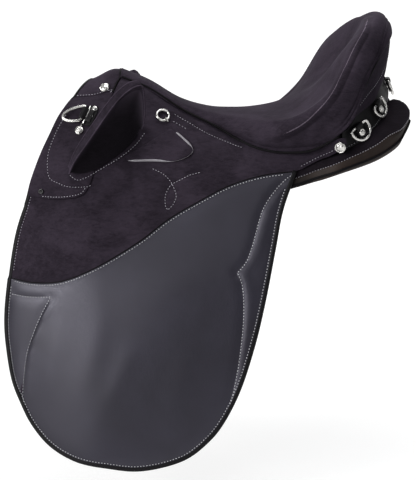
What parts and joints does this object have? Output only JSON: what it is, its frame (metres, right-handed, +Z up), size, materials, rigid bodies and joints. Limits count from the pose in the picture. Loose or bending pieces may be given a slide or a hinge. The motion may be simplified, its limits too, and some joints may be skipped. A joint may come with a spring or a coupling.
{
  "type": "stock saddle",
  "caption": "Dark suede stock saddle with raised knee pads, long smooth-leather flaps, a stuffed panel and dees at the pommel and cantle.",
  "frame": {"origin": "on the centre line, under the lowest point of the seat, at the height where the panels meet the horse's back", "axes": "+X towards the cantle, -Y the near (left) side, +Z up"},
  "size_m": [0.5981, 0.4076, 0.6406],
  "materials": {
    "suede": "matt nap",
    "smooth_leather": "satin",
    "bridle_leather": "satin",
    "bright_steel": "polished",
    "black_metal": "semi-gloss",
    "foam": "open cells",
    "tree_plastic": "matt"
  },
  "bodies": {
    "saddle": {"cantle_binding": "suede", "dome_rivet_near": "black_metal", "dome_rivet_off": "black_metal", "flap_head_near": "suede", "flap_head_off": "suede", "front_dee_clip_near": "bright_steel", "front_dee_clip_off": "bright_steel", "front_stud_near": "bright_steel", "front_stud_off": "bright_steel", "gullet_plate": "bright_steel", "head_cover": "suede", "knee_pad_near": "suede", "knee_pad_off": "suede", "panel_near": "bridle_leather", "panel_off": "bridle_leather", "pommel_stud_near": "bright_steel", "pommel_stud_off": "bright_steel", "rear_dee_clip_1_near": "bright_steel", "rear_dee_clip_1_off": "bright_steel", "rear_dee_clip_2_near": "bright_steel", "rear_dee_clip_2_off": "bright_steel", "rear_dee_clip_3_near": "bright_steel", "rear_dee_clip_3_off": "bright_steel", "rear_facing": "bridle_leather", "rear_stud_near": "bright_steel", "rear_stud_off": "bright_steel", "ring_staple_near": "bright_steel", "ring_staple_off": "bright_steel", "seat_cover": "suede", "seat_foam": "foam", "stirrup_bar_near": "bright_steel", "stirrup_bar_off": "bright_steel", "sweat_flap_near": "bridle_leather", "sweat_flap_off": "bridle_leather", "tree": "tree_plastic", "yoke_near": "suede", "yoke_off": "suede"},
    "flap_near": {"flap_near": "suede", "flap_panel_near": "smooth_leather"},
    "skirt_near": {"skirt_near": "suede"},
    "girth_point_front_near": {"girth_point_front_near": "bridle_leather"},
    "girth_point_rear_near": {"girth_point_rear_near": "bridle_leather"},
    "front_dee_near": {"front_dee_near": "bright_steel"},
    "side_ring_near": {"side_ring_near": "bright_steel"},
    "rear_dee_1_near": {"rear_dee_1_near": "bright_steel"},
    "rear_dee_2_near": {"rear_dee_2_near": "bright_steel"},
    "rear_dee_3_near": {"rear_dee_3_near": "bright_steel"},
    "stirrup_catch_near": {"stirrup_catch_near": "bright_steel"},
    "flap_off": {"flap_off": "suede", "flap_panel_off": "smooth_leather"},
    "skirt_off": {"skirt_off": "suede"},
    "girth_point_front_off": {"girth_point_front_off": "bridle_leather"},
    "girth_point_rear_off": {"girth_point_rear_off": "bridle_leather"},
    "front_dee_off": {"front_dee_off": "bright_steel"},
    "side_ring_off": {"side_ring_off": "bright_steel"},
    "rear_dee_1_off": {"rear_dee_1_off": "bright_steel"},
    "rear_dee_2_off": {"rear_dee_2_off": "bright_steel"},
    "rear_dee_3_off": {"rear_dee_3_off": "bright_steel"},
    "stirrup_catch_off": {"stirrup_catch_off": "bright_steel"}
  },
  "joints": [
    {"name": "flap_lift_near", "type": "hinge", "parent": "saddle", "child": "flap_near", "pos_m": [0, -0.12, 0.0107], "axis": [-0.9845, 0.0984, -0.1452], "range_deg": [0, 70]},
    {"name": "skirt_lift_near", "type": "hinge", "parent": "saddle", "child": "skirt_near", "pos_m": [-0.16741, -0.09188, 0.03948], "axis": [-0.8481, -0.1528, -0.5074], "range_deg": [0, 70]},
    {"name": "girth_point_front_near_swing", "type": "hinge", "parent": "saddle", "child": "girth_point_front_near", "pos_m": [-0.11557, -0.1045, -0.00417], "axis": [-0.1305, -0.9641, 0.2314], "range_deg": [-6, 6]},
    {"name": "girth_point_rear_near_swing", "type": "hinge", "parent": "saddle", "child": "girth_point_rear_near", "pos_m": [-0.02357, -0.1137, 0.0094], "axis": [-0.1305, -0.9641, 0.2314], "range_deg": [-6, 6]},
    {"name": "front_dee_turn_near", "type": "hinge", "parent": "saddle", "child": "front_dee_near", "pos_m": [-0.22737, -0.06106, 0.10002], "axis": [0.3869, 0.3708, 0.8442], "range_deg": [0, 140]},
    {"name": "side_ring_turn_near", "type": "hinge", "parent": "saddle", "child": "side_ring_near", "pos_m": [-0.10697, -0.07237, 0.09038], "axis": [0.8449, 0.398, 0.3575], "range_deg": [0, 110]},
    {"name": "rear_dee_turn_1_near", "type": "hinge", "parent": "saddle", "child": "rear_dee_1_near", "pos_m": [0.16372, -0.13037, 0.08503], "axis": [-0.7549, -0.4036, -0.517], "range_deg": [0, 110]},
    {"name": "rear_dee_turn_2_near", "type": "hinge", "parent": "saddle", "child": "rear_dee_2_near", "pos_m": [0.19866, -0.09304, 0.11448], "axis": [-0.4778, -0.6953, -0.5369], "range_deg": [0, 110]},
    {"name": "rear_dee_turn_3_near", "type": "hinge", "parent": "saddle", "child": "rear_dee_3_near", "pos_m": [0.2288, -0.02368, 0.14385], "axis": [-0.1391, -0.9716, -0.1917], "range_deg": [0, 110]},
    {"name": "stirrup_catch_turn_near", "type": "hinge", "parent": "saddle", "child": "stirrup_catch_near", "pos_m": [-0.08297, -0.07729, 0.046], "axis": [0, 0, 1], "range_deg": [0, 80]},
    {"name": "flap_lift_off", "type": "hinge", "parent": "saddle", "child": "flap_off", "pos_m": [0, 0.12, 0.0107], "axis": [0.9845, 0.0984, 0.1452], "range_deg": [0, 70]},
    {"name": "skirt_lift_off", "type": "hinge", "parent": "saddle", "child": "skirt_off", "pos_m": [-0.16741, 0.09188, 0.03948], "axis": [0.8481, -0.1528, 0.5074], "range_deg": [0, 70]},
    {"name": "girth_point_front_off_swing", "type": "hinge", "parent": "saddle", "child": "girth_point_front_off", "pos_m": [-0.11557, 0.1045, -0.00417], "axis": [-0.1305, 0.9641, 0.2314], "range_deg": [-6, 6]},
    {"name": "girth_point_rear_off_swing", "type": "hinge", "parent": "saddle", "child": "girth_point_rear_off", "pos_m": [-0.02357, 0.1137, 0.0094], "axis": [-0.1305, 0.9641, 0.2314], "range_deg": [-6, 6]},
    {"name": "front_dee_turn_off", "type": "hinge", "parent": "saddle", "child": "front_dee_off", "pos_m": [-0.22737, 0.06106, 0.10002], "axis": [-0.3869, 0.3708, -0.8442], "range_deg": [0, 140]},
    {"name": "side_ring_turn_off", "type": "hinge", "parent": "saddle", "child": "side_ring_off", "pos_m": [-0.10697, 0.07237, 0.09038], "axis": [-0.8449, 0.398, -0.3575], "range_deg": [0, 110]},
    {"name": "rear_dee_turn_1_off", "type": "hinge", "parent": "saddle", "child": "rear_dee_1_off", "pos_m": [0.16372, 0.13037, 0.08503], "axis": [0.7549, -0.4036, 0.517], "range_deg": [0, 110]},
    {"name": "rear_dee_turn_2_off", "type": "hinge", "parent": "saddle", "child": "rear_dee_2_off", "pos_m": [0.19866, 0.09304, 0.11448], "axis": [0.4778, -0.6953, 0.5369], "range_deg": [0, 110]},
    {"name": "rear_dee_turn_3_off", "type": "hinge", "parent": "saddle", "child": "rear_dee_3_off", "pos_m": [0.2288, 0.02368, 0.14385], "axis": [0.1391, -0.9716, 0.1917], "range_deg": [0, 110]},
    {"name": "stirrup_catch_turn_off", "type": "hinge", "parent": "saddle", "child": "stirrup_catch_off", "pos_m": [-0.08297, 0.07729, 0.046], "axis": [0, 0, -1], "range_deg": [0, 80]}
  ]
}
